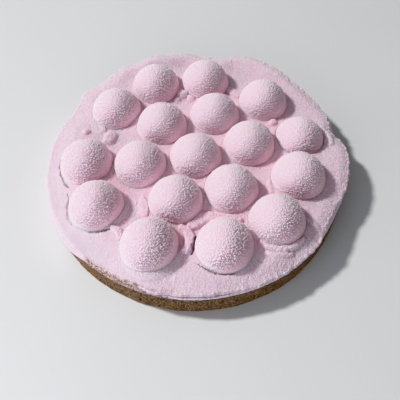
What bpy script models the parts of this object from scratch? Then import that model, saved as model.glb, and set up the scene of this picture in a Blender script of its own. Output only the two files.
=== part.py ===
"""Round mousse cake: a low baked base, a pale pink layer of mousse and eighteen mousse domes.

Lengths are in millimetres until a mesh is made, and then in metres. +Z is up and the origin is the middle
of the base's underside. Bearings are in degrees, anticlockwise from +X as seen from above.
"""
import math

import bmesh
import bpy
import numpy as np

MM = 0.001
GAP = 0.3
SEED = 18
RAGGED_WAVES = range(11, 38, 3)

# Baked base
BASE_RADIUS = 113.6
BASE_HEIGHT = 17.0
FOOT_ROUND = 0.8
LEDGE_DEPTH = 2.5
SHOULDER_SLOPE = 2.0
LEDGE_LOWEST = 1.0
BASE_SWELLS = (
    (262.0, 20.0, 1.8), (90.0, 34.0, 2.6), (188.0, 18.0, -2.2), (330.0, 15.0, -2.6), (355.0, 9.0, 0.8),
)
BASE_RAGGED = 0.3
LOOSE_CRUMBS = ((224.0, 1.6, 0.9), (300.0, 1.6, 0.9))
LEDGE_EASE = 0.2

# Mousse poured round the base and over it
MOUSSE_TOP = 25.0
RIM_RADIUS = 113.6
RIM_SWELLS = (
    (30.0, 5.0, 2.0), (50.0, 6.0, 4.0), (62.0, 6.0, 5.6), (72.0, 5.0, 6.0), (85.0, 4.0, 1.8),
    (95.0, 4.0, 5.6), (104.0, 4.0, 4.0), (111.0, 4.0, 5.4), (122.0, 4.0, 6.0), (132.0, 5.0, 2.0),
    (142.0, 4.0, 4.5), (155.0, 6.0, -2.2), (166.0, 8.0, -1.0), (188.0, 10.0, -1.3), (14.0, 3.0, -4.4),
    (3.0, 4.0, 2.6), (353.0, 6.0, 1.1), (331.0, 8.0, -4.0), (265.0, 24.0, 1.5),
)
RIM_RAGGED = 0.45
LIP_SWELLS = ((60.0, 15.0, 4.4), (108.0, 15.0, 4.4), (84.0, 4.0, -1.2))
LIP_FLAT = 6.0
LIP_SLOPE = 16.0
EDGE_ROUND = 1.8
EDGE_EASE = 0.3 * EDGE_ROUND
MARGIN_WIDTH = 9.0
MARGIN_DROP = 1.6
SOFT_MARGIN = ((205.0, 42.0, 13.0, 1.7), (300.0, 14.0, 1.5, 1.8))
SIDE_BULGE = 0.5
SKIRT_BEARING = 185.0
SKIRT_FULL = 27.0
SKIRT_END = 48.0
SKIRT_OVERHANG = 1.1
WEB_RISE = 2.1
WEB_WIDTH = 5.5
# Broad rises of the top: place, spread and height
RISES = ((99.0, -10.0, 13.0, 2.4), (100.0, 22.0, 9.0, 1.2))
WAVE_HEIGHT = 0.35
WAVE_LENGTH = 46.0
WAVE_SLANTS = (0.4, -0.3)

# Domes: bearing, distance from the middle and how far each stands above or below the mousse
DOME_RADIUS = 19.7
DOME_FOOT = 3.0
POCKET_SPACING = 2.2 * DOME_RADIUS
DOME_FLOOR_LOWEST = 19.5
MIDDLE_DOME = ((265.0, 4.0, 0.0),)
INNER_DOMES = (
    (69.8, 42.2, 0.0), (12.4, 41.2, 0.0), (306.4, 42.7, 0.0), (252.4, 46.0, 0.0), (195.8, 42.5, 0.0),
    (132.6, 39.2, 0.0),
)
OUTER_DOMES = (
    (114.2, 81.8, -0.2), (84.8, 79.9, 0.0), (45.8, 77.6, -0.2), (12.0, 81.5, -4.0),
    (343.2, 77.8, 0.2), (312.6, 82.1, 0.0), (283.6, 82.5, 0.2), (249.2, 86.0, 0.7),
    (214.8, 84.1, -0.8), (187.0, 81.2, 0.0), (144.0, 78.4, -0.8),
)
DOME_SEGMENTS = 20
DOME_TURN = 0.11
DOME_BANDS = 5

# Small mousse pieces and folds fused to the layer: place, length, width, height and turn
LUMPS = (
    (-86.0, 23.5, 6.4, 5.8, 3.2, 0.0), (-66.5, 17.5, 14.5, 10.5, 4.0, 70.0),
    (-12.0, 60.0, 9.0, 6.0, 3.0, 20.0), (60.5, 33.5, 8.0, 6.0, 3.4, 50.0),
)
RIDGE_WIDTH = 5.4
RIDGE_RISE = 2.6
RIDGES = (
    ((-9.6, -64.5), (-7.0, -69.0), (-4.6, -74.0), (-4.8, -80.0), (-7.0, -86.0)),
    ((99.0, 27.0), (103.0, 20.0), (104.0, 11.0)),
    ((76.0, -58.0), (80.0, -61.5), (83.5, -65.0)),
)
# Rings pushed up in front of or behind a dome: dome number, bearings, distance from its side, rise
COLLARS = (
    (14, 66.0, 140.0, 2.6, 2.0),
    (13, 228.0, 292.0, 3.0, 2.0),
    (12, 150.0, 190.0, 2.4, 1.4),
    (5, 155.0, 205.0, 2.4, 1.8),
)
COLLAR_WIDTH = 4.4
COLLAR_SINK = 1.6
COLLAR_POINTS = 7
CRACK_WIDTH = 1.4
CRACK_DEPTH = 1.6
CRACK_TOOL_RISE = 3.0
TUBE_END_SHARE = 0.45
CRACKS = (
    ((-106.0, -12.0), (-101.5, -18.0), (-98.5, -24.0), (-93.0, -30.0)),
    ((-94.0, -36.0), (-91.5, -43.0), (-92.0, -53.0), (-87.0, -61.0)),
    ((4.0, -103.2), (13.0, -103.6), (23.0, -102.0), (33.0, -99.0)),
)

GRID_CELLS = 34
RIM_POINTS = 4 * GRID_CELLS
TUBE_POINTS = 6
LUMP_POINTS = 8
LUMP_BANDS = 4
SHARP_DEGREES = 50.0

# Named colours
CRUMB_BROWN = 0x8A5A33
MOUSSE_PINK = 0xECC6D2
DOME_PINK = 0xEEC4D2


def linear(hex_colour):
    """Linear red, green, blue and alpha of an sRGB hex value."""
    parts = [((hex_colour >> shift) & 255) / 255.0 for shift in (16, 8, 0)]
    return [c / 12.92 if c <= 0.04045 else ((c + 0.055) / 1.055) ** 2.4 for c in parts] + [1.0]


def matte(name, hex_colour, roughness):
    """A dull, non-metal material."""
    made = bpy.data.materials.new(name)
    made.use_nodes = True
    shader = made.node_tree.nodes["Principled BSDF"]
    shader.inputs["Base Color"].default_value = linear(hex_colour)
    shader.inputs["Roughness"].default_value = roughness
    shader.inputs["Metallic"].default_value = 0.0
    return made


def smoothstep(value):
    """0 below 0, 1 above 1 and an S-shaped rise between."""
    t = np.clip(value, 0.0, 1.0)
    return t * t * (3.0 - 2.0 * t)


def turn_between(bearing, middle):
    """Angle from one bearing to another, the short way round, in degrees."""
    return (bearing - middle + 180.0) % 360.0 - 180.0


def swells(bearing, features):
    """Sum of bell-shaped swells, each given by its bearing, its spread in degrees and its amount."""
    total = np.zeros_like(bearing)
    for middle, spread, amount in features:
        total = total + amount * np.exp(-0.5 * (turn_between(bearing, middle) / spread) ** 2)
    return total


def raggedness(bearing, amount, seed):
    """Seeded fine waves round the edge, from a few to many in one turn."""
    draw = np.random.default_rng(seed)
    total = np.zeros_like(bearing)
    for waves in RAGGED_WAVES:
        total = total + np.sin(np.radians(bearing * waves + draw.uniform(0.0, 360.0)))
    return total * amount / math.sqrt(len(RAGGED_WAVES))


def rim_radius(bearing):
    """Radius of the mousse's upper edge."""
    return RIM_RADIUS + swells(bearing, RIM_SWELLS) + raggedness(bearing, RIM_RAGGED, SEED)


def foot_radius(bearing):
    """Radius of the base's side without its ragged skin."""
    return BASE_RADIUS + swells(bearing, BASE_SWELLS)


def ledge_height(bearing):
    """Height at which the base's side ends under the mousse: low where the mousse hangs down as a skirt."""
    away = np.abs(turn_between(bearing, SKIRT_BEARING))
    rise = smoothstep((away - SKIRT_FULL) / (SKIRT_END - SKIRT_FULL))
    return LEDGE_LOWEST + (BASE_HEIGHT - LEDGE_LOWEST) * rise


def skirt_share(bearing):
    """1 where the skirt hangs to the bottom, 0 where the base's side shows in full."""
    return (BASE_HEIGHT - ledge_height(bearing)) / (BASE_HEIGHT - LEDGE_LOWEST)


def dome_list():
    """Every dome's middle, its centre height and the height of its flat floor."""
    domes = []
    for bearing, distance, lift in MIDDLE_DOME + INNER_DOMES + OUTER_DOMES:
        x = distance * math.cos(math.radians(bearing))
        y = distance * math.sin(math.radians(bearing))
        centre = MOUSSE_TOP + lift
        domes.append((x, y, centre, max(centre - DOME_FOOT, DOME_FLOOR_LOWEST)))
    return domes


def top_height(x, y):
    """Height of the mousse's top: waves, webs that climb to the domes, a falling margin, rises and a lip."""
    bearing = np.degrees(np.arctan2(y, x)) % 360.0
    inward = rim_radius(bearing) - np.hypot(x, y)
    turns = 2.0 * math.pi / WAVE_LENGTH
    waves = np.sin(turns * (x + WAVE_SLANTS[0] * y)) + np.cos(turns * (y + WAVE_SLANTS[1] * x))
    height = MOUSSE_TOP + WAVE_HEIGHT * waves
    for dome_x, dome_y, centre, _floor in dome_list():
        away = np.clip(np.hypot(x - dome_x, y - dome_y) - DOME_RADIUS, 0.0, None)
        height = height + WEB_RISE * np.exp(-away / WEB_WIDTH)
    width = np.full_like(bearing, MARGIN_WIDTH)
    drop = np.full_like(bearing, MARGIN_DROP)
    for middle, spread, more_width, more_drop in SOFT_MARGIN:
        share = np.exp(-0.5 * (turn_between(bearing, middle) / spread) ** 2)
        width = width + more_width * share
        drop = drop + more_drop * share
    height = height - drop * (1.0 - smoothstep(inward / width))
    for rise_x, rise_y, spread, rise in RISES:
        height = height + rise * np.exp(-0.5 * ((x - rise_x) ** 2 + (y - rise_y) ** 2) / spread ** 2)
    return height + swells(bearing, LIP_SWELLS) * (1.0 - smoothstep((inward - LIP_FLAT) / LIP_SLOPE))


def disc_grid(cells):
    """Square grid bent to a unit disc: places, four-sided faces and the rim's points in order of bearing."""
    steps = np.linspace(-1.0, 1.0, cells + 1)
    a, b = np.meshgrid(steps, steps)
    wide = np.abs(a) > np.abs(b)
    radius = np.where(wide, a, b)
    safe = np.where(radius == 0.0, 1.0, radius)
    angle = np.where(wide, math.pi / 4.0 * b / safe, math.pi / 2.0 - math.pi / 4.0 * a / safe)
    places = np.stack([radius * np.cos(angle), radius * np.sin(angle)], -1).reshape(-1, 2)
    row = cells + 1
    faces = []
    for j in range(cells):
        for i in range(cells):
            first = j * row + i
            faces.append((first, first + 1, first + 1 + row, first + row))
    rim = [j * row + cells for j in range(cells)]
    rim += [cells * row + cells - i for i in range(cells)]
    rim += [(cells - j) * row for j in range(cells)]
    rim += [i for i in range(cells)]
    return places, faces, rim


def solid(name, points, faces):
    """Closed mesh object from points in millimetres, with its faces turned outward."""
    mesh = bpy.data.meshes.new(name)
    mesh.from_pydata([tuple(float(v) * MM for v in p) for p in points], [], faces)
    work = bmesh.new()
    work.from_mesh(mesh)
    bmesh.ops.recalc_face_normals(work, faces=work.faces[:])
    work.to_mesh(mesh)
    work.free()
    made = bpy.data.objects.new(name, mesh)
    bpy.context.scene.collection.objects.link(made)
    return made


def band_faces(first, second, count):
    """Four-sided faces between two rings of points that start at the given numbers."""
    faces = []
    for k in range(count):
        after = (k + 1) % count
        faces.append((first + k, first + after, second + after, second + k))
    return faces


def ring_points(radius, height, bearing):
    """Points round the axis at the given radii and heights."""
    angle = np.radians(bearing)
    radius = np.broadcast_to(radius, bearing.shape)
    height = np.broadcast_to(height, bearing.shape)
    return np.stack([radius * np.cos(angle), radius * np.sin(angle), height], -1)


def rim_bearings():
    """Evenly spaced bearings shared by the base and the mousse."""
    return (np.arange(RIM_POINTS) * 360.0 / RIM_POINTS - 45.0) % 360.0


def make_base():
    """Low round base with a ragged side, a ledge under the mousse's skirt and a sloping shoulder."""
    bearing = rim_bearings()
    smooth = foot_radius(bearing)
    ledge = ledge_height(bearing)
    rough = smooth + raggedness(bearing, BASE_RAGGED, SEED + 1) * (1.0 - skirt_share(bearing))
    rough = rough + swells(bearing, LOOSE_CRUMBS)
    lower = np.minimum(FOOT_ROUND, 0.5 * ledge)
    rings = [
        ring_points(rough - FOOT_ROUND, 0.0, bearing),
        ring_points(rough, lower, bearing),
        ring_points(rough + raggedness(bearing, BASE_RAGGED, SEED + 2), 0.5 * (lower + ledge), bearing),
        ring_points(smooth - LEDGE_EASE, ledge, bearing),
        ring_points(smooth - LEDGE_DEPTH, ledge, bearing),
        ring_points(smooth - LEDGE_DEPTH - SHOULDER_SLOPE, BASE_HEIGHT, bearing),
    ]
    faces = [tuple(reversed(range(RIM_POINTS)))]
    for k in range(len(rings) - 1):
        faces += band_faces(k * RIM_POINTS, (k + 1) * RIM_POINTS, RIM_POINTS)
    last = (len(rings) - 1) * RIM_POINTS
    faces.append(tuple(range(last, last + RIM_POINTS)))
    return solid("cake_base", np.concatenate(rings), faces)


def make_layer():
    """Mousse layer: a waved top, a rounded edge, the side with its skirt and a hollowed underside."""
    places, faces, rim = disc_grid(GRID_CELLS)
    bearing = np.degrees(np.arctan2(places[:, 1], places[:, 0])) % 360.0
    reach = np.hypot(places[:, 0], places[:, 1])
    edge = rim_radius(bearing) - EDGE_ROUND
    radius = reach * (RIM_RADIUS - EDGE_ROUND + (edge - RIM_RADIUS + EDGE_ROUND) * reach ** 3)
    x = radius * np.cos(np.radians(bearing))
    y = radius * np.sin(np.radians(bearing))
    top = np.stack([x, y, top_height(x, y)], -1)

    around = rim_bearings()
    outer = rim_radius(around)
    crest = top[rim][:, 2]
    smooth = foot_radius(around)
    ledge = ledge_height(around)
    low_edge = smooth + SKIRT_OVERHANG * skirt_share(around)
    middle = 0.5 * (crest - EDGE_ROUND + ledge)
    rings = [
        ring_points(outer - EDGE_EASE, crest - EDGE_EASE, around),
        ring_points(outer, crest - EDGE_ROUND, around),
        ring_points(0.5 * (outer + low_edge) + SIDE_BULGE, middle, around),
        ring_points(low_edge, ledge + GAP, around),
        ring_points(smooth - LEDGE_DEPTH + GAP, ledge + GAP, around),
        ring_points(smooth - LEDGE_DEPTH - SHOULDER_SLOPE + GAP, BASE_HEIGHT + GAP, around),
    ]
    start = len(top)
    for k in range(RIM_POINTS):
        after = (k + 1) % RIM_POINTS
        faces.append((rim[k], rim[after], start + after, start + k))
    for k in range(len(rings) - 1):
        faces += band_faces(start + k * RIM_POINTS, start + (k + 1) * RIM_POINTS, RIM_POINTS)
    last = start + (len(rings) - 1) * RIM_POINTS
    faces.append(tuple(range(last, last + RIM_POINTS)))
    return solid("mousse_layer", np.concatenate([top] + rings), faces)


def dome_angles(dome):
    """Angles of a dome's upright edges, turned with its place so that no two domes line up."""
    start = DOME_TURN * (dome[0] + 2.0 * dome[1])
    return [2.0 * math.pi * (k + start) / DOME_SEGMENTS for k in range(DOME_SEGMENTS)]


def make_dome(number, dome):
    """Half ball on a short straight foot, flat underneath."""
    x, y, centre, floor = dome
    angles = dome_angles(dome)
    rows = [(DOME_RADIUS, floor), (DOME_RADIUS, centre)]
    for band in range(1, DOME_BANDS):
        rise = math.pi / 2.0 * band / DOME_BANDS
        rows.append((DOME_RADIUS * math.cos(rise), centre + DOME_RADIUS * math.sin(rise)))
    points = []
    for radius, height in rows:
        points += [(x + radius * math.cos(a), y + radius * math.sin(a), height) for a in angles]
    points.append((x, y, centre + DOME_RADIUS))
    faces = [tuple(reversed(range(DOME_SEGMENTS)))]
    for k in range(len(rows) - 1):
        faces += band_faces(k * DOME_SEGMENTS, (k + 1) * DOME_SEGMENTS, DOME_SEGMENTS)
    last = (len(rows) - 1) * DOME_SEGMENTS
    for k in range(DOME_SEGMENTS):
        faces.append((last + k, last + (k + 1) % DOME_SEGMENTS, len(points) - 1))
    return solid("dome_%02d" % number, points, faces)


def merge_pieces(name, pieces):
    """One mesh of several pieces that don't touch, each given by its points and faces."""
    points = []
    faces = []
    for piece_points, piece_faces in pieces:
        shift = len(points)
        points += [tuple(p) for p in piece_points]
        faces += [tuple(shift + v for v in face) for face in piece_faces]
    return solid(name, points, faces)


def lump_piece(lump):
    """Low rounded lump, half sunk into the mousse's top."""
    x, y, length, width, height, turn = lump
    cosine = math.cos(math.radians(turn))
    sine = math.sin(math.radians(turn))
    level = float(top_height(np.array([x]), np.array([y]))[0])
    points = []
    for band in range(LUMP_BANDS):
        tilt = math.pi * ((band + 0.5) / LUMP_BANDS - 0.5)
        for k in range(LUMP_POINTS):
            around = 2.0 * math.pi * k / LUMP_POINTS
            along = 0.5 * length * math.cos(tilt) * math.cos(around)
            across = 0.5 * width * math.cos(tilt) * math.sin(around)
            turned_x = x + along * cosine - across * sine
            turned_y = y + along * sine + across * cosine
            points.append((turned_x, turned_y, level + height * math.sin(tilt)))
    faces = [tuple(reversed(range(LUMP_POINTS)))]
    for band in range(LUMP_BANDS - 1):
        faces += band_faces(band * LUMP_POINTS, (band + 1) * LUMP_POINTS, LUMP_POINTS)
    faces.append(tuple(range((LUMP_BANDS - 1) * LUMP_POINTS, LUMP_BANDS * LUMP_POINTS)))
    return points, faces


def tube_piece(path, width, rise, sink):
    """Tube with an oval section along a path on the mousse's top, thinner at both ends."""
    path = np.asarray(path, float)
    along = np.gradient(path, axis=0)
    along = along / np.linalg.norm(along, axis=1)[:, None]
    side = np.stack([along[:, 1], -along[:, 0]], -1)
    level = top_height(path[:, 0], path[:, 1])
    count = len(path)
    points = []
    for k in range(count):
        share = TUBE_END_SHARE + (1.0 - TUBE_END_SHARE) * math.sin(math.pi * k / (count - 1))
        for m in range(TUBE_POINTS):
            angle = 2.0 * math.pi * (m + 0.5) / TUBE_POINTS
            across = 0.5 * width * share * math.cos(angle)
            lift = (rise if math.sin(angle) > 0.0 else sink) * share * math.sin(angle)
            x = path[k, 0] + side[k, 0] * across
            y = path[k, 1] + side[k, 1] * across
            points.append((x, y, level[k] + lift))
    faces = [tuple(reversed(range(TUBE_POINTS)))]
    for k in range(count - 1):
        faces += band_faces(k * TUBE_POINTS, (k + 1) * TUBE_POINTS, TUBE_POINTS)
    faces.append(tuple(range((count - 1) * TUBE_POINTS, count * TUBE_POINTS)))
    return points, faces


def collar_path(dome, first, last, away):
    """Arc round a dome, a set distance from its side."""
    angles = np.radians(np.linspace(first, last, COLLAR_POINTS))
    radius = DOME_RADIUS + away
    return np.stack([dome[0] + radius * np.cos(angles), dome[1] + radius * np.sin(angles)], -1)


def pocket_piece(dome):
    """Upright cutter a little wider than a dome, from under its floor to above its top."""
    x, y, centre, floor = dome
    radius = (DOME_RADIUS + GAP) / math.cos(math.pi / DOME_SEGMENTS)
    angles = dome_angles(dome)
    points = []
    for height in (floor - GAP, centre + 2.0 * DOME_RADIUS):
        points += [(x + radius * math.cos(a), y + radius * math.sin(a), height) for a in angles]
    faces = [tuple(reversed(range(DOME_SEGMENTS))), tuple(range(DOME_SEGMENTS, 2 * DOME_SEGMENTS))]
    faces += band_faces(0, DOME_SEGMENTS, DOME_SEGMENTS)
    return points, faces


def pocket_turns(domes):
    """Domes sorted into turns so that no two pockets cut in one turn touch."""
    turns = []
    for dome in domes:
        for turn in turns:
            if all(math.hypot(dome[0] - other[0], dome[1] - other[1]) > POCKET_SPACING for other in turn):
                turn.append(dome)
                break
        else:
            turns.append([dome])
    return turns


def combine(target, operand, operation):
    """Exact Boolean of a hidden tool body on the target."""
    operand.hide_render = True
    operand.display_type = "WIRE"
    modifier = target.modifiers.new(operand.name, "BOOLEAN")
    modifier.operation = operation
    modifier.solver = "EXACT"
    modifier.object = operand


def shade(made, material):
    """Gives the material and smooth shading, with the sharp edges kept."""
    made.data.materials.append(material)
    made.data.shade_smooth()
    made.data.set_sharp_from_angle(angle=math.radians(SHARP_DEGREES))


def main():
    for old in list(bpy.data.objects):
        bpy.data.objects.remove(old)
    crumb = matte("baked_crumb", CRUMB_BROWN, 0.9)
    mousse = matte("dusted_mousse", MOUSSE_PINK, 0.85)
    dome_mousse = matte("dusted_dome_mousse", DOME_PINK, 0.85)
    domes = dome_list()

    shade(make_base(), crumb)
    layer = make_layer()
    shade(layer, mousse)
    combine(layer, merge_pieces("lump_tool", [lump_piece(lump) for lump in LUMPS]), "UNION")
    ridges = [tube_piece(path, RIDGE_WIDTH, RIDGE_RISE, RIDGE_RISE) for path in RIDGES]
    for number, first, last, away, rise in COLLARS:
        path = collar_path(domes[number - 1], first, last, away)
        ridges.append(tube_piece(path, COLLAR_WIDTH, rise, COLLAR_SINK))
    for count, ridge in enumerate(ridges):
        combine(layer, merge_pieces("ridge_tool_%d" % count, [ridge]), "UNION")
    cracks = [tube_piece(path, CRACK_WIDTH, CRACK_TOOL_RISE, CRACK_DEPTH) for path in CRACKS]
    combine(layer, merge_pieces("crack_tool", cracks), "DIFFERENCE")
    for count, turn in enumerate(pocket_turns(domes)):
        pockets = merge_pieces("pocket_tool_%d" % count, [pocket_piece(dome) for dome in turn])
        combine(layer, pockets, "DIFFERENCE")

    for number, dome in enumerate(domes, start=1):
        shade(make_dome(number, dome), dome_mousse)


main()
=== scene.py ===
"""Looks of a round mousse cake: porous baked base, velvet mousse layer and grainy mousse domes.

Lengths are in millimetres until a mesh is made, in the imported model's own frame: +Z is up, the origin is the
middle of the base's underside, and bearings are in degrees, anticlockwise from +X as seen from above. Every
surface is worked out as whole arrays: a grid of places, then their height or their push along the surface.
"""
import math

import bpy
import numpy as np
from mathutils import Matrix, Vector


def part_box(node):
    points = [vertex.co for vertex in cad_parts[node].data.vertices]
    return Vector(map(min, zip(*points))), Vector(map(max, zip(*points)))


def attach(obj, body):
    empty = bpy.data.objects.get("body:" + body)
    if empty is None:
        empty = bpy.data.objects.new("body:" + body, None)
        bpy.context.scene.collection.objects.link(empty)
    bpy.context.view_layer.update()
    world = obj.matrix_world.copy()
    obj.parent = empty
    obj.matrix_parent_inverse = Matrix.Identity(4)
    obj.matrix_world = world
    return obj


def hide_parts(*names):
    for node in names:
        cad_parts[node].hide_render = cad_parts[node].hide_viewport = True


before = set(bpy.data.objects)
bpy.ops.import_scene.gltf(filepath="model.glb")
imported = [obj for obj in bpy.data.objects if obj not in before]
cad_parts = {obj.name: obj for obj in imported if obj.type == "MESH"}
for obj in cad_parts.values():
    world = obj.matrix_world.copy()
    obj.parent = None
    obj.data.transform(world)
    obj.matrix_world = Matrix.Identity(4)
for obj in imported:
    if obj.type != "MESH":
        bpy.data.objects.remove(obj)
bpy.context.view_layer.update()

MM = 0.001

# Camera, as it stood for the photograph: millimetres, degrees and pixels
CAMERA_PLACE = (3.0, -259.0, 323.9)
CAMERA_ELEVATION = 53.98
CAMERA_FOCAL_PIXELS = 522.0
CAMERA_NEAR = 10.0
FRAME_PIXELS = 400.0
SENSOR_WIDTH = 36.0

# Light: name, direction from the cake, distance, width of the lamp, watts and tint
LAMPS = (
    ("key_lamp", (-0.659, 0.177, 0.731), 3200.0, 360.0, 93.0, (1.0, 1.0, 1.0)),
    ("fill_lamp", (-0.509, -0.815, 0.276), 550.0, 500.0, 1.35, (0.88, 0.93, 1.0)),
)
SKY_TINT = (0.93, 0.96, 1.0, 1.0)
SKY_STRENGTH = 0.27
TONE_CURVE = "Khronos PBR Neutral"

# Ground: half its width, how far it lies under the cake, and the size of its faint patches, six to the metre
GROUND_HALF = 1500.0
GROUND_DROP = 0.1
GROUND_PATCH = 1000.0 / 6.0

# The cake's driving sizes, as in the solids
SEED = 18
BASE_RADIUS = 113.6
BASE_HEIGHT = 17.0
LEDGE_DEPTH = 2.5
SHOULDER_SLOPE = 2.0
LEDGE_LOWEST = 1.0
GAP = 0.3
MOUSSE_TOP = 25.0
RIM_RADIUS = 113.6
EDGE_ROUND = 1.8
SIDE_BULGE = 0.5
SKIRT_BEARING = 185.0
SKIRT_FULL = 27.0
SKIRT_END = 48.0
SKIRT_OVERHANG = 1.1
WAVE_HEIGHT = 0.35
WAVE_LENGTH = 46.0
WAVE_SLANTS = (0.4, -0.3)
DOME_COUNT = 18
DOME_RADIUS = 19.7

# Swells and dips of the base, of the rim and of the raised lip: bearing, spread and amount
BASE_SWELLS = (
    (262.0, 20.0, 1.8), (90.0, 34.0, 2.6), (188.0, 18.0, -2.2), (330.0, 15.0, -2.6), (355.0, 9.0, 0.8),
)
RIM_SWELLS = (
    (30.0, 5.0, 2.0), (50.0, 6.0, 4.0), (62.0, 6.0, 5.6), (72.0, 5.0, 6.0), (85.0, 4.0, 1.8),
    (95.0, 4.0, 5.6), (104.0, 4.0, 4.0), (111.0, 4.0, 5.4), (122.0, 4.0, 6.0), (132.0, 5.0, 2.0),
    (142.0, 4.0, 4.5), (155.0, 6.0, -2.2), (166.0, 8.0, -1.0), (188.0, 10.0, -1.3), (14.0, 3.0, -4.4),
    (3.0, 4.0, 2.6), (353.0, 6.0, 1.1), (331.0, 8.0, -4.0), (265.0, 24.0, 1.5),
)
LIP_SWELLS = ((60.0, 15.0, 4.4), (108.0, 15.0, 4.4), (84.0, 4.0, -1.2))
LIP_FLAT = 6.0
LIP_SLOPE = 16.0
RAGGED_WAVES = range(11, 38, 3)
RIM_RAGGED = 0.45

# Falling margin of the top, and where it is softer: bearing, spread, more width and more drop
MARGIN_WIDTH = 9.0
MARGIN_DROP = 1.6
SOFT_MARGIN = ((205.0, 42.0, 13.0, 1.7), (300.0, 14.0, 1.5, 1.8))

# Webs of mousse at a lone foot and between two close domes, and how fast they fade
WEB_ALONE = 0.3
WEB_BETWEEN = 4.0
WEB_WIDTH = 4.5

# Broad rises of the top: place, spread and height
RISES = ((99.0, -10.0, 13.0, 2.4), (100.0, 22.0, 9.0, 1.2))

# Small pieces that lie on the mousse: place, length, width, height and turn
LUMPS = (
    (-86.0, 23.5, 6.4, 5.8, 3.2, 0.0), (-66.5, 17.5, 14.5, 10.5, 4.0, 70.0),
    (-11.0, 65.0, 11.0, 8.5, 3.6, 20.0), (-4.6, 60.6, 8.0, 6.5, 2.8, 120.0),
    (-15.6, 59.6, 6.5, 5.5, 2.2, 60.0), (60.5, 33.5, 8.5, 6.5, 3.4, 50.0),
    (98.6, 12.5, 6.0, 2.8, 2.2, 55.0),
)

# Pushed-up folds of mousse: path, width, rise, and whether the top is flat or round
FOLDS = (
    (((-9.4, -66.2), (-6.2, -68.0), (-4.4, -71.5), (-3.8, -75.5), (-4.6, -80.0), (-6.4, -84.4)),
     7.4, 3.4, True),
    (((-5.0, -66.0), (0.5, -61.8), (5.5, -57.6), (12.0, -57.2), (20.0, -58.4), (29.5, -59.8)),
     9.4, 2.7, True),
    (((-38.2, -40.5), (-36.8, -45.5), (-36.2, -50.5), (-35.2, -55.5)), 8.0, 2.2, True),
    (((43.4, -78.0), (48.6, -81.0), (55.6, -82.3), (62.0, -81.4), (67.4, -78.8), (72.0, -74.4)),
     5.2, 2.6, False),
    (((47.0, -84.8), (51.5, -86.3), (57.5, -86.6), (64.0, -85.0)), 4.2, 1.5, False),
    (((53.2, -25.0), (52.6, -30.0), (54.0, -35.5)), 4.0, 1.2, False),
    (((99.0, 27.0), (103.0, 20.0), (104.0, 11.0)), 5.4, 1.4, False),
    (((76.0, -58.0), (80.0, -61.5), (83.5, -65.0)), 4.6, 1.4, False),
    (((-80.5, 37.5), (-74.5, 33.0), (-72.0, 26.0)), 6.0, 1.6, True),
    (((-56.0, -66.5), (-52.5, -68.5), (-50.6, -73.0)), 6.6, 2.2, True),
    (((24.5, 72.5), (30.0, 68.5), (35.0, 63.5)), 8.5, 2.0, True),
)
SLAB_SHOULDER = 1.2
FOLD_WOBBLE = 0.4

# Cracks, painted dark as shadow inside them: path, width and depth
CRACKS = (
    (((-102.4, -3.1), (-101.3, -9.9), (-99.9, -17.2), (-96.4, -24.6), (-91.6, -30.2)), 1.25, 1.6),
    (((-92.1, -35.0), (-90.3, -42.0), (-90.2, -48.1), (-88.6, -55.7), (-85.2, -61.2)), 1.1, 1.4),
    (((1.2, -93.6), (4.6, -95.6), (9.2, -98.3), (14.0, -100.2), (20.0, -100.6), (25.6, -99.8)), 0.8, 0.9),
    (((-72.9, -68.4), (-65.6, -68.8), (-58.6, -66.6)), 0.9, 1.0),
    (((0.2, -72.6), (-0.4, -77.0), (-1.2, -81.5), (-2.4, -85.6)), 1.4, 1.4),
    (((-110.0, 33.0), (-104.0, 38.0)), 1.2, 1.0),
)
CRACK_WOBBLE = 0.35

# Brims of smooth mousse at a dome's foot: dome number, bearing, half turn, reach and rise
BRIMS = ((15, 300.0, 86.0, 4.6, 2.6), (16, 345.0, 62.0, 2.8, 2.0), (14, 345.0, 55.0, 1.6, 1.5))
BRIM_FALL = 0.7

# The rim's edge: tight all round but soft at the left, with small notches (bearing, spread and amount)
RIM_INSET = 0.25
TIGHT_EDGE = 0.8
SOFT_EDGE_BEARING = 215.0
SOFT_EDGE_SPREAD = 38.0
NOTCHES = ((20.0, 0.7, -2.4), (17.2, 0.8, 0.9), (45.5, 0.6, -1.6), (88.5, 0.6, -1.5))

# The rim's crumbly crust: where it is strongest, how it fades round the edge, its width and its clumps
CRUST_BEARING = 20.0
CRUST_TURN = 115.0
CRUST_FULL = 1.35
CRUST_LEAST = 0.25
CRUST_WIDTH = 4.5
CLUMP_SIZE = 2.6
SMALL_CLUMP_SIZE = 1.5
CLUMP_LEVEL = 0.7

# The split between the front edge and the film of mousse under it, as shares of the side's height
SPLIT_BEARING = 271.0
SPLIT_SPREAD = 9.5
SPLIT_WIDTH = 0.9
SPLIT_DEPTH = 1.1
SPLIT_LEVEL = 0.38
SPLIT_HALF = 0.05
FILM_FROM = 0.42
FILM_SOFT = 0.08

# Crumbs smeared over the edge at the front left, and the unsprayed foot of the mousse's side
SMEAR_BEARING = 241.0
SMEAR_SPREAD = 17.0
SMEAR_WIDTH = 1.3
SMEAR_SOFT = 1.4
SMEAR_DEPTH = 1.1
BARE_FROM = 0.92
BARE_SOFT = 0.1

# The smooth thick coat on the left margin
CALM_BEARING = 211.0
CALM_SPREAD = 27.0
CALM_WIDTH = 26.0
CALM_LOSS = 0.75

# Clouds of unevenness: amount, size and seed
RIM_CLOUDS = ((0.5, 5.0, 51), (0.55, 2.4, 52), (0.35, 1.3, 53))
LAYER_CLOUDS = ((0.2, 6.0, 31), (0.15, 2.7, 33))
SMEAR_CLOUDS = ((0.9, 1.6, 45), (0.8, 4.0, 46))
BARE_CLOUDS = ((0.16, 1.6, 45), (0.1, 4.0, 46))
DOME_CLOUDS = ((0.18, 14.0, 61), (0.05, 5.0, 62))

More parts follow.
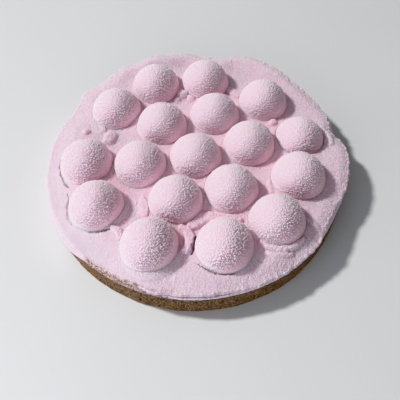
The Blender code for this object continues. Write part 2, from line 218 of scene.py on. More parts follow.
# Sprayed grain: its seed, sizes and heights, the level that counts as no height, and how its cells vary
GRAIN_SEED = 5
GRAIN_SIZE = 1.35
GRAIN_LEVEL = 0.6
LAYER_GRAIN = 0.6
SIDE_GRAIN = 0.35
DOME_GRAIN = 1.0
DOME_GRAINS = 35.0
DOME_LEVEL = 0.35
GRAIN_RADIUS = 0.63
JITTER_START = 0.15
JITTER_RANGE = 0.7
CELL_SHIFT = 8.0

# Where the spray and the light come from, and how facing them, from 1 to -1, makes the grain coarser and
# weaker, and where a pink painted shade goes on the side turned away and in the valleys between domes
SPRAY_AND_LIGHT_FROM = (-0.62, 0.1, 0.78)
SLANT_GRAIN = 0.85
SLANT_FROM = 0.75
SLANT_SOFT = 0.45
SHADED_LOSS = 0.8
SHADE_FROM = 0.05
SHADE_SOFT = 0.3
SHADE_PINK_FROM = 0.35
SHADE_PINK_SOFT = 0.75
VALLEY_SHADE_PINK = 0.9

# A dome's smooth foot, and how far its surface is drawn in so that the grain stays inside the solid
FLANGE_HEIGHT = 2.6
FLANGE_WIDTH = 0.35
DOME_INSET = 0.3

# Baked base: sizes and depths of its pores, size of its crumb, and how far its lowest edge is drawn in
PORE_SIZE = 1.9
PORE_DEPTH = 0.75
SMALL_PORE_SIZE = 1.15
SMALL_PORE_DEPTH = 0.45
CRUMB_SIZE = 1.3
LOW_EDGE_INSET = 0.5

# Pockets under the domes: where the wall starts and ends and where faces are left out, inside the foot
WALL_INSET = 0.8
FLOOR_INSET = 1.6
HIDDEN_INSET = 2.6

# Rows and cells of the meshes
TOP_CELLS = 330
ROUND_ROWS = 3
SIDE_ROWS = 16
DOME_CELLS = 184
FOOT_ROWS = 5
BASE_COLUMNS = 1260
BASE_ROWS = 24

# Colours of the sprayed velvet: grain tops, hollows painted darker as shade between the grains, and slow
# mottling
LAYER_VELVET = (0xE8D4DE, 0xE3CAD6, 0xE4CCD7)
DOME_VELVET = (0xF3E1E9, 0xDCBECB, 0xF0DAE4)
# Pink painted shade on the domes' side turned from the light and in the valleys between domes
PAINTED_SHADE_PINK = 0xF6CDD9
THICK_SPRAY = 0xDCCDD5
# Painted shadow in the cracks and along the split at the front edge
CRACK_SHADE = 0x84606E
SMEAR_DARK = 0x7C5F5A
SMEAR_PALE = 0xC4AAA4

# Colours of the baked crumb; the darkest is painted shade in the pores
PORE_SHADE_BROWN = 0x3A2B20
CRUMB_BROWN = 0x9A8069
DUSK_BROWN = 0x54402F
FLECK_BROWN = 0xB4946F
PATCH_BROWN = 0x86694E

# Input numbers of the node that stretches a value and of the node that mixes two colours
VALUE, FROM_LOW, FROM_HIGH, TO_LOW, TO_HIGH = range(5)
SHARE, UNDER, OVER = 0, 6, 7

# Turns the grid behind the grain off the object's own axes
GRAIN_TURN = np.array(((0.36, 0.48, -0.8), (-0.8, 0.6, 0.0), (0.48, 0.64, 0.6)))


def smoothstep(value):
    """0 below 0, 1 above 1, and 3t^2 - 2t^3 between."""
    t = np.clip(value, 0.0, 1.0)
    return t * t * (3.0 - 2.0 * t)


def turn_between(bearing, middle):
    """Angle from one bearing to another, the short way round, in degrees."""
    return (bearing - middle + 180.0) % 360.0 - 180.0


def bell(bearing, middle, spread):
    """Bell curve round the edge: e to the minus half the square of turn over spread."""
    return np.exp(-0.5 * (turn_between(bearing, middle) / spread) ** 2)


def plateau(bearing, middle, spread):
    """Flat-topped stretch of the edge: e to the minus half the fourth power of turn over spread."""
    return np.exp(-0.5 * (turn_between(bearing, middle) / spread) ** 4)


def swells(bearing, features):
    """Sum of bell curves, each times its amount."""
    total = np.zeros_like(bearing)
    for middle, spread, amount in features:
        total = total + amount * bell(bearing, middle, spread)
    return total


def raggedness(bearing, amount, seed):
    """Sum of sine waves round the edge with seeded starts."""
    draw = np.random.default_rng(seed)
    total = np.zeros_like(bearing)
    for waves in RAGGED_WAVES:
        total = total + np.sin(np.radians(bearing * waves + draw.uniform(0.0, 360.0)))
    return total * amount / math.sqrt(len(RAGGED_WAVES))


def scattered(cell, seed):
    """Repeatable value from 0 to 1 for whole-number cells: bits mixed by large odd factors and shifts."""
    cell = cell.astype(np.uint32)
    mixed = cell[..., 0] * np.uint32(73856093) ^ cell[..., 1] * np.uint32(19349663)
    mixed = mixed ^ cell[..., 2] * np.uint32(83492791) ^ np.uint32(seed * 40503 + 7)
    mixed = (mixed ^ (mixed >> np.uint32(15))) * np.uint32(2246822519)
    mixed = (mixed ^ (mixed >> np.uint32(13))) * np.uint32(3266489917)
    mixed = mixed ^ (mixed >> np.uint32(16))
    return (mixed & np.uint32(0xFFFFFF)).astype(np.float32) / float(0xFFFFFF)


def cloud(points, size, seed):
    """Smooth noise from -1 to 1: random corner values blended across cells of the given size."""
    scaled = points / size
    cell = np.floor(scaled).astype(np.int64)
    part = smoothstep(scaled - cell)
    total = np.zeros(len(points))
    for corner in np.ndindex(2, 2, 2):
        weight = np.prod(np.where(np.array(corner) == 1, part, 1.0 - part), axis=-1)
        total += weight * scattered(cell + np.array(corner), seed)
    return 2.0 * total - 1.0


def clouds(points, parts):
    """Sum of clouds, each times its amount."""
    total = np.zeros(len(points))
    for amount, size, seed in parts:
        total += amount * cloud(points, size, seed)
    return total


def beads(points, size, seed):
    """Round beads from 0 to 1, one at a random place in each cell.

    A bead's height is its own share times one minus its squared distance over its squared radius.
    """
    scaled = (points / size).astype(np.float32)
    cell = np.floor(scaled).astype(np.int64)
    highest = np.zeros(len(points), np.float32)
    for step in np.ndindex(3, 3, 3):
        near = cell + np.array(step) - 1
        place = [near[:, k] + JITTER_START + JITTER_RANGE * scattered(near, seed + k) for k in range(3)]
        gap = np.stack(place, -1) - scaled
        own = scattered(near, seed + 3)
        radius = 0.58 + 0.16 * own
        highest = np.maximum(highest, (0.75 + 0.25 * own) * (1.0 - (gap * gap).sum(-1) / radius ** 2))
    return highest


def velvet(points):
    """Sprayed grain of the layer, 0 in its hollows to about 1: beads, weaker and stronger in places."""
    patch = 0.85 + 0.2 * cloud(points, 7.0, GRAIN_SEED + 23)
    return patch * beads(points @ GRAIN_TURN, GRAIN_SIZE, GRAIN_SEED)


def outward(bearing):
    """Level directions away from the cake's axis."""
    return np.stack([np.cos(np.radians(bearing)), np.sin(np.radians(bearing)), np.zeros_like(bearing)], -1)


def rim_radius(bearing):
    """Radius of the mousse's upper edge, as in the solids."""
    return RIM_RADIUS + swells(bearing, RIM_SWELLS) + raggedness(bearing, RIM_RAGGED, SEED)


def foot_radius(bearing):
    """Radius of the base's side without its porous skin."""
    return BASE_RADIUS + swells(bearing, BASE_SWELLS)


def ledge_height(bearing):
    """Height at which the base's side ends under the mousse."""
    away = np.abs(turn_between(bearing, SKIRT_BEARING))
    rise = smoothstep((away - SKIRT_FULL) / (SKIRT_END - SKIRT_FULL))
    return LEDGE_LOWEST + (BASE_HEIGHT - LEDGE_LOWEST) * rise


def skirt_share(bearing):
    """1 where the skirt hangs to the bottom, 0 where the base's side shows in full."""
    return (BASE_HEIGHT - ledge_height(bearing)) / (BASE_HEIGHT - LEDGE_LOWEST)


def edge_round(bearing):
    """Radius of the mousse's rounded upper edge: broad where the margin is soft, tight elsewhere."""
    return TIGHT_EDGE + (EDGE_ROUND - TIGHT_EDGE) * bell(bearing, SOFT_EDGE_BEARING, SOFT_EDGE_SPREAD)


def crusted(bearing):
    """How crusty the rim is: 1 at the right and the back right, less elsewhere, least on the soft left."""
    turn = np.abs(turn_between(bearing, CRUST_BEARING))
    return CRUST_LEAST + (1.0 - CRUST_LEAST) * smoothstep(CRUST_FULL - turn / CRUST_TURN)


def crust(points, bearing):
    """Crumbly bumps near the rim: clumps of two sizes."""
    clumps = 0.9 * beads(points, CLUMP_SIZE, 91) + 0.5 * beads(points @ GRAIN_TURN, SMALL_CLUMP_SIZE, 92)
    return crusted(bearing) * (clumps - CLUMP_LEVEL)


def parted(bearing):
    """Where the front edge has parted from the film of mousse under it: 1 along the split, 0 elsewhere."""
    return plateau(bearing, SPLIT_BEARING, SPLIT_SPREAD)


def smeared(bearing):
    """Where crumbs are smeared over the mousse's edge: 1 in the middle of the smear, 0 elsewhere."""
    return plateau(bearing, SMEAR_BEARING, SMEAR_SPREAD)


def mousse_edge(bearing):
    """Outermost radius of the mousse: the rim with its crumbly waver and notches, drawn in at the split."""
    waver = crusted(bearing) * clouds(outward(bearing) * RIM_RADIUS, RIM_CLOUDS) + swells(bearing, NOTCHES)
    return rim_radius(bearing) + waver - RIM_INSET - SPLIT_WIDTH * parted(bearing)


def read_domes():
    """Every dome's middle, centre height and floor height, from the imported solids' boxes."""
    domes = []
    for number in range(1, DOME_COUNT + 1):
        low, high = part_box("dome_%02d" % number)
        middle_x = 0.5 * (low[0] + high[0]) / MM
        middle_y = 0.5 * (low[1] + high[1]) / MM
        domes.append((middle_x, middle_y, high[2] / MM - DOME_RADIUS, low[2] / MM))
    return domes


def distance_to_path(x, y, path):
    """Distance from each place to a path of straight pieces, and how far along the path that is, 0 to 1."""
    path = np.asarray(path, float)
    best = np.full(x.shape, np.inf)
    share = np.zeros(x.shape)
    for k in range(len(path) - 1):
        run = path[k + 1] - path[k]
        along = ((x - path[k, 0]) * run[0] + (y - path[k, 1]) * run[1]) / (run @ run)
        along = np.clip(along, 0.0, 1.0)
        away = np.hypot(x - path[k, 0] - along * run[0], y - path[k, 1] - along * run[1])
        closer = away < best
        best = np.where(closer, away, best)
        share = np.where(closer, (k + along) / (len(path) - 1), share)
    return best, share


def between_domes(x, y, domes):
    """Nearness to the domes, summed, and its products summed over every pair of domes.

    Nearness is e to the minus distance over the web's width.
    """
    near = np.zeros_like(x)
    near_squared = np.zeros_like(x)
    for dome_x, dome_y, _centre, _floor in domes:
        away = np.clip(np.hypot(x - dome_x, y - dome_y) - DOME_RADIUS, 0.0, None)
        near = near + np.exp(-away / WEB_WIDTH)
        near_squared = near_squared + np.exp(-2.0 * away / WEB_WIDTH)
    return near, 0.5 * (near ** 2 - near_squared)


def margin_drop(bearing, inward):
    """Fall of the margin: its depth times one minus the smooth step of distance from the rim over width."""
    width = np.full_like(bearing, MARGIN_WIDTH)
    drop = np.full_like(bearing, MARGIN_DROP)
    for middle, spread, more_width, more_drop in SOFT_MARGIN:
        share = bell(bearing, middle, spread)
        width = width + more_width * share
        drop = drop + more_drop * share
    return drop * (1.0 - smoothstep(inward / width))


def brim_height(x, y, domes):
    """Brims at the domes' feet: a slope outwards that ends in a short edge, widest in the brim's middle."""
    height = np.zeros_like(x)
    for number, middle, half_turn, reach, rise in BRIMS:
        dome_x, dome_y, _centre, _floor = domes[number - 1]
        turn = np.abs(turn_between(np.degrees(np.arctan2(y - dome_y, x - dome_x)), middle)) / half_turn
        share = np.clip(1.0 - turn ** 2, 0.0, 1.0)
        away = (np.hypot(x - dome_x, y - dome_y) - DOME_RADIUS) / (reach * np.sqrt(share) + 0.01)
        slope = rise * share * (1.0 - BRIM_FALL * np.clip(away, 0.0, 1.0))
        height = height + slope * smoothstep((1.0 - away) * reach / BRIM_FALL + 0.5)
    return height


def plain_height(x, y, domes):
    """Height of the mousse's top: waves, webs, a falling margin, broad rises, brims and a raised lip.

    A web grows with nearness to a dome, and far more where two domes are near.
    """
    bearing = np.degrees(np.arctan2(y, x)) % 360.0
    inward = rim_radius(bearing) - np.hypot(x, y)
    turns = 2.0 * math.pi / WAVE_LENGTH
    waves = np.sin(turns * (x + WAVE_SLANTS[0] * y)) + np.cos(turns * (y + WAVE_SLANTS[1] * x))
    near, pairs = between_domes(x, y, domes)
    height = MOUSSE_TOP + WAVE_HEIGHT * waves + WEB_ALONE * near + WEB_BETWEEN * pairs
    height = height - margin_drop(bearing, inward)
    for rise_x, rise_y, spread, rise in RISES:
        height = height + rise * np.exp(-0.5 * ((x - rise_x) ** 2 + (y - rise_y) ** 2) / spread ** 2)
    lip = swells(bearing, LIP_SWELLS) * (1.0 - smoothstep((inward - LIP_FLAT) / LIP_SLOPE))
    return height + brim_height(x, y, domes) + lip


def folds(x, y):
    """Extra height of lumps and folds less the depth of the cracks, and the painted shadow of each crack, 0 to
    1.

    A lump is half an ellipsoid. A fold is a slab or a half-round ridge along its path, thinner at its ends.
    """
    flat = np.stack([x, y, np.zeros_like(x)], -1)
    wobble = cloud(flat, 3.1, 71)
    rough = cloud(flat, 1.6, 72)
    extra = np.zeros_like(x)
    for lump_x, lump_y, length, width, height, turn in LUMPS:
        cosine = math.cos(math.radians(turn))
        sine = math.sin(math.radians(turn))
        along = ((x - lump_x) * cosine + (y - lump_y) * sine) / (0.5 * length)
        across = ((y - lump_y) * cosine - (x - lump_x) * sine) / (0.5 * width)
        reach = 1.0 - along ** 2 - across ** 2 + 0.18 * wobble
        extra = np.maximum(extra, height * np.sqrt(np.clip(reach, 0.0, 1.0)) * (0.9 + 0.1 * rough))
    for path, width, rise, flat_top in FOLDS:
        away, share = distance_to_path(x + FOLD_WOBBLE * wobble, y + FOLD_WOBBLE * rough, path)
        taper = 0.6 + 0.4 * np.sin(math.pi * share)
        away = away / (taper * (1.0 + 0.2 * wobble))
        slab = rise * smoothstep((0.5 * width - away) / SLAB_SHOULDER)
        ridge = rise * np.sqrt(np.clip(1.0 - (away / (0.5 * width)) ** 2, 0.0, 1.0))
        fold = slab if flat_top else ridge
        extra = np.maximum(extra, fold * (0.85 + 0.15 * taper + 0.12 * rough))
    crack_shadow = np.zeros_like(x)
    for path, width, depth in CRACKS:
        away, share = distance_to_path(x + CRACK_WOBBLE * wobble, y + CRACK_WOBBLE * rough, path)
        width = width * (0.45 + 0.55 * np.sin(math.pi * share)) * (1.0 + 0.7 * wobble)
        part = smoothstep(1.25 - away / width)
        extra = extra - depth * part
        crack_shadow = np.maximum(crack_shadow, smoothstep(1.5 * part) * (0.75 + 0.25 * rough))
    return extra, crack_shadow


def square_to_disc(a, b):
    """Places in a unit disc of places in a square.

    The larger of a and b is the distance from the middle, and their ratio is the angle.
    """
    wide = np.abs(a) > np.abs(b)
    radius = np.where(wide, a, b)
    safe = np.where(radius == 0.0, 1.0, radius)
    angle = np.where(wide, math.pi / 4.0 * b / safe, math.pi / 2.0 - math.pi / 4.0 * a / safe)
    return np.stack([radius * np.cos(angle), radius * np.sin(angle)], -1)


def disc_to_ball(places):
    """Directions on a half ball of places in a unit disc, so that equal areas stay equal."""
    reach = np.clip(np.hypot(places[..., 0], places[..., 1]), 0.0, 1.0)
    spread = np.sqrt(2.0 - reach ** 2)
    return np.stack([places[..., 0] * spread, places[..., 1] * spread, 1.0 - reach ** 2], -1)


def disc_grid(cells):
    """Square grid bent to a unit disc: places, faces and the rim in order."""
    steps = np.linspace(-1.0, 1.0, cells + 1)
    a, b = np.meshgrid(steps, steps)
    places = square_to_disc(a, b).reshape(-1, 2)
    row = cells + 1
    first = (np.arange(cells)[:, None] * row + np.arange(cells)[None, :]).ravel()
    faces = np.stack([first, first + 1, first + 1 + row, first + row], -1)
    side = np.arange(cells)
    rim = np.concatenate([side * row + cells, cells * row + cells - side, (cells - side) * row, side])
    return places, faces, rim


def rim_bearings(count):
    """Evenly spaced bearings that start at the grid's first rim point."""
    return (np.arange(count) * 360.0 / count - 45.0) % 360.0


def turned_rows(rows, bearing):
    """Points of rows that run round the cake, each row a radius and a height for every bearing."""
    cosine = np.cos(np.radians(bearing))
    sine = np.sin(np.radians(bearing))
    return np.concatenate([np.stack([radius * cosine, radius * sine, height], -1) for radius, height in rows])


def band_faces(lower, upper):
    """Four-sided faces that look outwards, between two closed rings of point numbers."""
    return np.stack([lower, np.roll(lower, -1), np.roll(upper, -1), upper], -1)


def fan_faces(ring, middle):
    """Three-sided faces from a closed ring of point numbers to one middle point."""
    return np.stack([ring, np.roll(ring, -1), np.full_like(ring, middle)], -1)


def make_piece(name, points, quads, triangles, material, values):
    """Closed smooth mesh at the origin from points in millimetres, with named values for every point."""
    mesh = bpy.data.meshes.new(name)
    corners = np.concatenate([quads.ravel(), triangles.ravel()]).astype(np.int32)
    sizes = np.concatenate([np.full(len(quads), 4), np.full(len(triangles), 3)]).astype(np.int32)
    starts = np.concatenate([[0], np.cumsum(sizes)[:-1]]).astype(np.int32)
    mesh.vertices.add(len(points))
    mesh.vertices.foreach_set("co", (points * MM).astype(np.float32).ravel())
    mesh.loops.add(len(corners))
    mesh.loops.foreach_set("vertex_index", corners)
    mesh.polygons.add(len(sizes))
    mesh.polygons.foreach_set("loop_start", starts)
    mesh.polygons.foreach_set("use_smooth", np.ones(len(sizes), bool))
    mesh.update(calc_edges=True)
    mesh.validate()
    for label, value in values.items():
        layer = mesh.attributes.new(label, "FLOAT", "POINT")
        layer.data.foreach_set("value", np.asarray(value, np.float32))
    mesh.materials.append(material)
    piece = bpy.data.objects.new(name, mesh)
    bpy.context.scene.collection.objects.link(piece)
    return piece


def place_piece(piece, node):
    """Puts a fine piece in place of its solid."""
    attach(piece, "root")
    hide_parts(node)


def layer_top(domes):
    """Top of the mousse: a disc grid at the solids' height plus folds, grain, clouds and crust.

    Distance from the middle grows to the wavy edge with the sixth power of its share. Under a dome the height
    falls to the dome's pocket. Gives the points, faces, rim, distance outside the nearest dome and values.
    """
    places, faces, rim = disc_grid(TOP_CELLS)
    bearing = np.degrees(np.arctan2(places[:, 1], places[:, 0])) % 360.0
    reach = np.hypot(places[:, 0], places[:, 1])
    edge = mousse_edge(bearing) - edge_round(bearing)
    middle_radius = RIM_RADIUS - EDGE_ROUND
    radius = reach * (middle_radius + (edge - middle_radius) * reach ** 6)
    x = radius * np.cos(np.radians(bearing))
    y = radius * np.sin(np.radians(bearing))
    extra, crack_shadow = folds(x, y)
    height = plain_height(x, y, domes) + extra
    flat = np.stack([x, y, height], -1)
    inward = edge - radius
    grain = velvet(flat)
    calm = bell(bearing, CALM_BEARING, CALM_SPREAD) * smoothstep(1.0 - inward / CALM_WIDTH)
    height = height + LAYER_GRAIN * (grain - GRAIN_LEVEL) * (1.0 - CALM_LOSS * calm)
    height = height + clouds(flat, LAYER_CLOUDS)
    height = height + crust(flat, bearing) * smoothstep(1.0 - inward / CRUST_WIDTH)
    outside = np.full(x.shape, np.inf)
    for dome_x, dome_y, _centre, floor in domes:
        away = np.hypot(x - dome_x, y - dome_y) - DOME_RADIUS
        wall = smoothstep((-away - WALL_INSET) / (FLOOR_INSET - WALL_INSET))
        height = height + (floor - GAP - height) * wall
        outside = np.minimum(outside, away)
    crumbs = SMEAR_WIDTH - inward + clouds(flat, SMEAR_CLOUDS)
    values = {
        "grain": grain,
        # Painted shadow in the cracks
        "gap": crack_shadow,
        "bare": smeared(bearing) * smoothstep(crumbs / SMEAR_SOFT),
        "calm": calm,
        # Pink painted shade in the valleys between close domes
        "painted_shade_pink": VALLEY_SHADE_PINK * smoothstep(between_domes(x, y, domes)[1] * 4.0),
    }
    return np.stack([x, y, height], -1), faces, rim, outside, values


def close_pockets(top, faces, outside, domes):
    """Leaves out the faces deep under each dome and closes the hole with a fan to the pocket's middle.

    A hole's border is every edge of a face left out whose reverse isn't there too.
    """
    hidden = outside[faces].max(axis=1) < -HIDDEN_INSET
    gone = faces[hidden]
    edges = np.concatenate([gone[:, [k, (k + 1) % 4]] for k in range(4)])
    forward = edges[:, 0] * len(top) + edges[:, 1]
    backward = edges[:, 1] * len(top) + edges[:, 0]
    border = edges[~np.isin(forward, backward)]
    border_middle = 0.5 * (top[border[:, 0], :2] + top[border[:, 1], :2])
    middles = []
    fans = []
    for number, (dome_x, dome_y, _centre, floor) in enumerate(domes):
        mine = np.hypot(border_middle[:, 0] - dome_x, border_middle[:, 1] - dome_y) < DOME_RADIUS
        own = border[mine]
        middles.append((dome_x, dome_y, floor - GAP))
        fans.append(np.stack([own[:, 0], own[:, 1], np.full(len(own), len(top) + number)], -1))
    return faces[~hidden], np.concatenate(fans), np.array(middles)


def layer_side(crest, around):
    """Side of the mousse: rows over the edge's quarter circle, then down to the ledge with a sine bulge.

    Every point is pushed outwards by grain, clouds and crust, and in at the split. Gives points and values.
    """
    outer = mousse_edge(around)
    edge = edge_round(around)
    ledge = ledge_height(around)
    low_edge = foot_radius(around) + SKIRT_OVERHANG * skirt_share(around)
    rows = []
    for k in range(1, ROUND_ROWS + 1):
        tilt = math.pi / 2.0 * k / ROUND_ROWS
        rows.append((outer - edge * (1.0 - math.sin(tilt)), crest - edge * (1.0 - math.cos(tilt))))
    start = crest - edge
    for k in range(1, SIDE_ROWS + 1):
        share = k / SIDE_ROWS
        bulge = SIDE_BULGE * math.sin(math.pi * share)
        rows.append((outer + (low_edge - outer) * share + bulge, start + (ledge + GAP - start) * share))
    side = turned_rows(rows, around)
    row = np.repeat(np.arange(len(rows)), len(around))
    bearing = np.tile(around, len(rows))
    lower = np.clip((row - ROUND_ROWS + 1.0) / SIDE_ROWS, 0.0, 1.0)
    grain = velvet(side)
    rough = SIDE_GRAIN * (grain - GRAIN_LEVEL) + 0.2 * cloud(side, 3.4, 41)
    rough = rough + 0.2 * lower * cloud(side, 1.5, 43)
    rough = rough + crust(side, bearing) * smoothstep(1.0 - lower / 0.6)
    ease = np.where(lower >= 1.0, 0.35, 1.0) * smoothstep(0.3 + row / 2.0)
    # Painted shadow along the split under the front edge; the same share sinks the side there
    gap = parted(bearing) * np.exp(-0.5 * ((lower - SPLIT_LEVEL) / SPLIT_HALF) ** 2)
    film = SPLIT_WIDTH * parted(bearing) * smoothstep((lower - FILM_FROM) / FILM_SOFT) * (1.0 - lower)
    side = side + outward(bearing) * (rough * ease - SPLIT_DEPTH * gap + film)[:, None]
    below = lower - BARE_FROM + SMEAR_DEPTH * smeared(bearing) + clouds(side, BARE_CLOUDS)
    bare = smoothstep(below / BARE_SOFT) * (1.0 - smoothstep(skirt_share(bearing) * 6.0))
    return side, {"grain": grain, "gap": gap, "bare": bare}


def make_layer(domes, material):
    """Mousse layer: its top and pockets, its side, and an underside hollowed over the base's ledge."""
    top, faces, rim, outside, top_values = layer_top(domes)
    shown, fans, middles = close_pockets(top, faces, outside, domes)
    around = rim_bearings(len(rim))
    side, side_values = layer_side(top[rim][:, 2], around)
    smooth = foot_radius(around)
    ledge = ledge_height(around)
    under = (
        (smooth - LEDGE_DEPTH + GAP, ledge + GAP),
        (smooth - LEDGE_DEPTH - SHOULDER_SLOPE + GAP, np.full_like(ledge, BASE_HEIGHT + GAP)),
    )
    underside_middle = np.array([[0.0, 0.0, BASE_HEIGHT + GAP]])
    points = np.concatenate([top, middles, side, turned_rows(under, around), underside_middle])
    side_start = len(top) + len(middles)
    last = len(points) - 1
    quads = [shown]
    previous = rim
    for start in range(side_start, last, len(rim)):
        ring = start + np.arange(len(rim))
        quads.append(band_faces(ring, previous))
        previous = ring
    quads = np.concatenate(quads)
    triangles = np.concatenate([fans, fan_faces(previous[::-1], last)])
    used = np.zeros(len(points), bool)
    used[quads.ravel()] = True
    used[triangles.ravel()] = True
    number = np.cumsum(used) - 1
    values = {}
    for label, top_value in top_values.items():
        value = np.zeros(len(points))
        value[:len(top)] = top_value
        value[side_start:side_start + len(side)] = side_values.get(label, 0.0)
        values[label] = value[used]
    return make_piece("mousse_layer_velvet", points[used], number[quads], number[triangles], material, values)


def dome_grains(number):
    """Sprayed grains on a half ball, 0 to 1: one round grain in each cell of a square bent to the ball.

    A grain's height is its size times one minus the squared distance from its middle over its squared radius.
    The cells are about as far apart as the grains of the spray.
    """
    steps = np.linspace(-1.0, 1.0, DOME_CELLS + 1)
    a, b = (side.ravel() for side in np.meshgrid(steps, steps))
    here = disc_to_ball(square_to_disc(a, b)) * DOME_RADIUS
    cell = np.floor((np.stack([a, b], -1) + 1.0) * 0.5 * DOME_GRAINS)
    own_number = np.full((len(a), 1), float(number))
    highest = np.zeros(len(a))
    for step in np.ndindex(3, 3):
        near = np.concatenate([cell + np.array(step) - 1.0, own_number], -1) + CELL_SHIFT
        shift = np.stack([scattered(near, GRAIN_SEED + k) for k in range(2)], -1)
        shift = JITTER_START + JITTER_RANGE * shift
        middle = np.clip((near[:, :2] - CELL_SHIFT + shift) * 2.0 / DOME_GRAINS - 1.0, -1.0, 1.0)
        middle = disc_to_ball(square_to_disc(middle[:, 0], middle[:, 1])) * DOME_RADIUS
        size = scattered(near, GRAIN_SEED + 3)
        radius = GRAIN_RADIUS * (0.85 + 0.3 * size)
        away = ((here - middle) ** 2).sum(-1) / radius ** 2
        highest = np.maximum(highest, (0.6 + 0.4 * size) * (1.0 - away))
    return highest


def make_dome(number, dome, material):
    """Half ball on a short foot: a disc grid lifted so that equal areas stay equal, then pushed out by grain.

    Facing is the dot product of the surface's direction and the spray's, which comes from near the light.
    The grain is coarser where the spray met the dome at a slant and fades on the side that it missed, which is
    painted pink as shade. The grain's hollows are painted darker as shade, most where the light grazes.
    """
    dome_x, dome_y, centre, floor = dome
    places, faces, rim = disc_grid(DOME_CELLS)
    out = disc_to_ball(places)
    out[rim, 2] = 0.0
    level = outward(rim_bearings(len(rim)))
    drop = np.array([0.0, 0.0, centre - floor])
    foot = [level * DOME_RADIUS - drop * k / FOOT_ROWS for k in range(1, FOOT_ROWS + 1)]
    body = np.concatenate([out * DOME_RADIUS] + foot)
    push = np.concatenate([out] + [level] * FOOT_ROWS)
    place = np.array([dome_x, dome_y, centre])
    grain = dome_grains(number)
    grain = np.concatenate([grain] + [grain[rim]] * FOOT_ROWS)
    grain = grain * (0.85 + 0.25 * cloud(body + place, 6.0, 28))
    above_foot = smoothstep((body[:, 2] - 0.8) / 4.5)
    flange = FLANGE_WIDTH * (1.0 - smoothstep((body[:, 2] - FLANGE_HEIGHT) / 0.8))
    facing = push @ np.array(SPRAY_AND_LIGHT_FROM)
    coarse = 1.0 + SLANT_GRAIN * smoothstep((SLANT_FROM - facing) / SLANT_SOFT)
    coarse = coarse * (1.0 - SHADED_LOSS * smoothstep((SHADE_FROM - facing) / SHADE_SOFT))
    rough = DOME_GRAIN * coarse * (grain - DOME_LEVEL) * (0.2 + 0.8 * above_foot)
    grown = rough + clouds(body + place, DOME_CLOUDS) + flange - DOME_INSET
    body = body + push * grown[:, None]
    body[-len(rim):, 2] = floor - centre
    points = np.concatenate([body, [[0.0, 0.0, floor - centre]]]) + place
    quads = [faces]
    previous = rim
    for k in range(FOOT_ROWS):
        ring = len(out) + k * len(rim) + np.arange(len(rim))
        quads.append(band_faces(ring, previous))
        previous = ring
    triangles = fan_faces(previous[::-1], len(points) - 1)
    # The grain's hollows are painted darker as shade, most where the light grazes and less near the foot
    hollow_shade = np.clip(coarse / (1.0 + SLANT_GRAIN) - 0.15, 0.1, 1.0) * above_foot
    # Pink painted shade on the side turned from the light
    painted_shade_pink = smoothstep((SHADE_PINK_FROM - facing + 0.06 * cloud(body + place, 3.0, 64)) / SHADE_PINK_SOFT)
    values = {
        "grain": np.append(0.7 - (0.7 - grain) * hollow_shade, 0.0),
        "painted_shade_pink": np.append(painted_shade_pink, 0.0),
    }
    return make_piece("dome_velvet_%02d" % number, points, np.concatenate(quads), triangles, material, values)


def make_base(material):
    """Baked base: rows up its side at the foot radius, then a ledge, a shoulder and flat ends.

    The side is pitted where beads of two sizes are high, and less so at its lower and upper edge.
    """
    bearing = np.arange(BASE_COLUMNS) * 360.0 / BASE_COLUMNS
    smooth = foot_radius(bearing)
    ledge = ledge_height(bearing)
    shares = np.linspace(0.0, 1.0, BASE_ROWS)
    insets = LOW_EDGE_INSET * (1.0 - smoothstep(shares * 12.0))
    side = turned_rows([(smooth - inset, ledge * share) for inset, share in zip(insets, shares)], bearing)
    pores = smoothstep((beads(side, PORE_SIZE, 81) - 0.55) / 0.3)
    small = smoothstep((beads(side @ GRAIN_TURN, SMALL_PORE_SIZE, 82) - 0.5) / 0.35)
    crumb = cloud(side, CRUMB_SIZE, 83)
    share = np.repeat(shares, BASE_COLUMNS)
    ends = np.minimum(smoothstep(share * 8.0), smoothstep((1.0 - share) * 8.0))
    pits = ends * (PORE_DEPTH * pores + SMALL_PORE_DEPTH * small)
    relief = 0.3 * cloud(side, 7.0, 84) + 0.25 * crumb - pits
    side = side + outward(np.tile(bearing, BASE_ROWS)) * relief[:, None]
    side[:BASE_COLUMNS, 2] = 0.0
    above = (
        (smooth - LEDGE_DEPTH, ledge),
        (smooth - LEDGE_DEPTH - SHOULDER_SLOPE, np.full_like(ledge, BASE_HEIGHT)),
    )
    inner = turned_rows(above, bearing)
    points = np.concatenate([side, inner, [[0.0, 0.0, BASE_HEIGHT]], [[0.0, 0.0, 0.0]]])
    bottom = np.arange(BASE_COLUMNS)
    quads = []
    ring = bottom
    for k in range(BASE_ROWS + len(above) - 1):
        quads.append(band_faces(ring, ring + BASE_COLUMNS))
        ring = ring + BASE_COLUMNS
    triangles = np.concatenate([fan_faces(ring, len(points) - 2), fan_faces(bottom[::-1], len(points) - 1)])
    # Darker in the pores and small pits: painted shade
    depth = 0.5 + 0.3 * crumb - 0.5 * pores - 0.3 * small
    values = {"grain": np.concatenate([depth, np.full(len(inner) + 2, 0.4)])}
    return make_piece("baked_base_crumb", points, np.concatenate(quads), triangles, material, values)


def linear(hex_colour):
    """Linear red, green, blue and alpha of an sRGB hex value."""
    parts = [((hex_colour >> shift) & 255) / 255.0 for shift in (16, 8, 0)]
    return [c / 12.92 if c <= 0.04045 else ((c + 0.055) / 1.055) ** 2.4 for c in parts] + [1.0]


def add_node(tree, kind, inputs=(), **settings):
    """Adds one node with its settings, and gives each input a number, a hex colour or another's output."""
    node = tree.nodes.new(kind)
    for name, value in settings.items():
        setattr(node, name, value)
    for socket, value in dict(inputs).items():
        if isinstance(value, bpy.types.NodeSocket):
            tree.links.new(value, node.inputs[socket])
        elif isinstance(value, int):
            node.inputs[socket].default_value = linear(value)
        else:
            node.inputs[socket].default_value = value
    return node


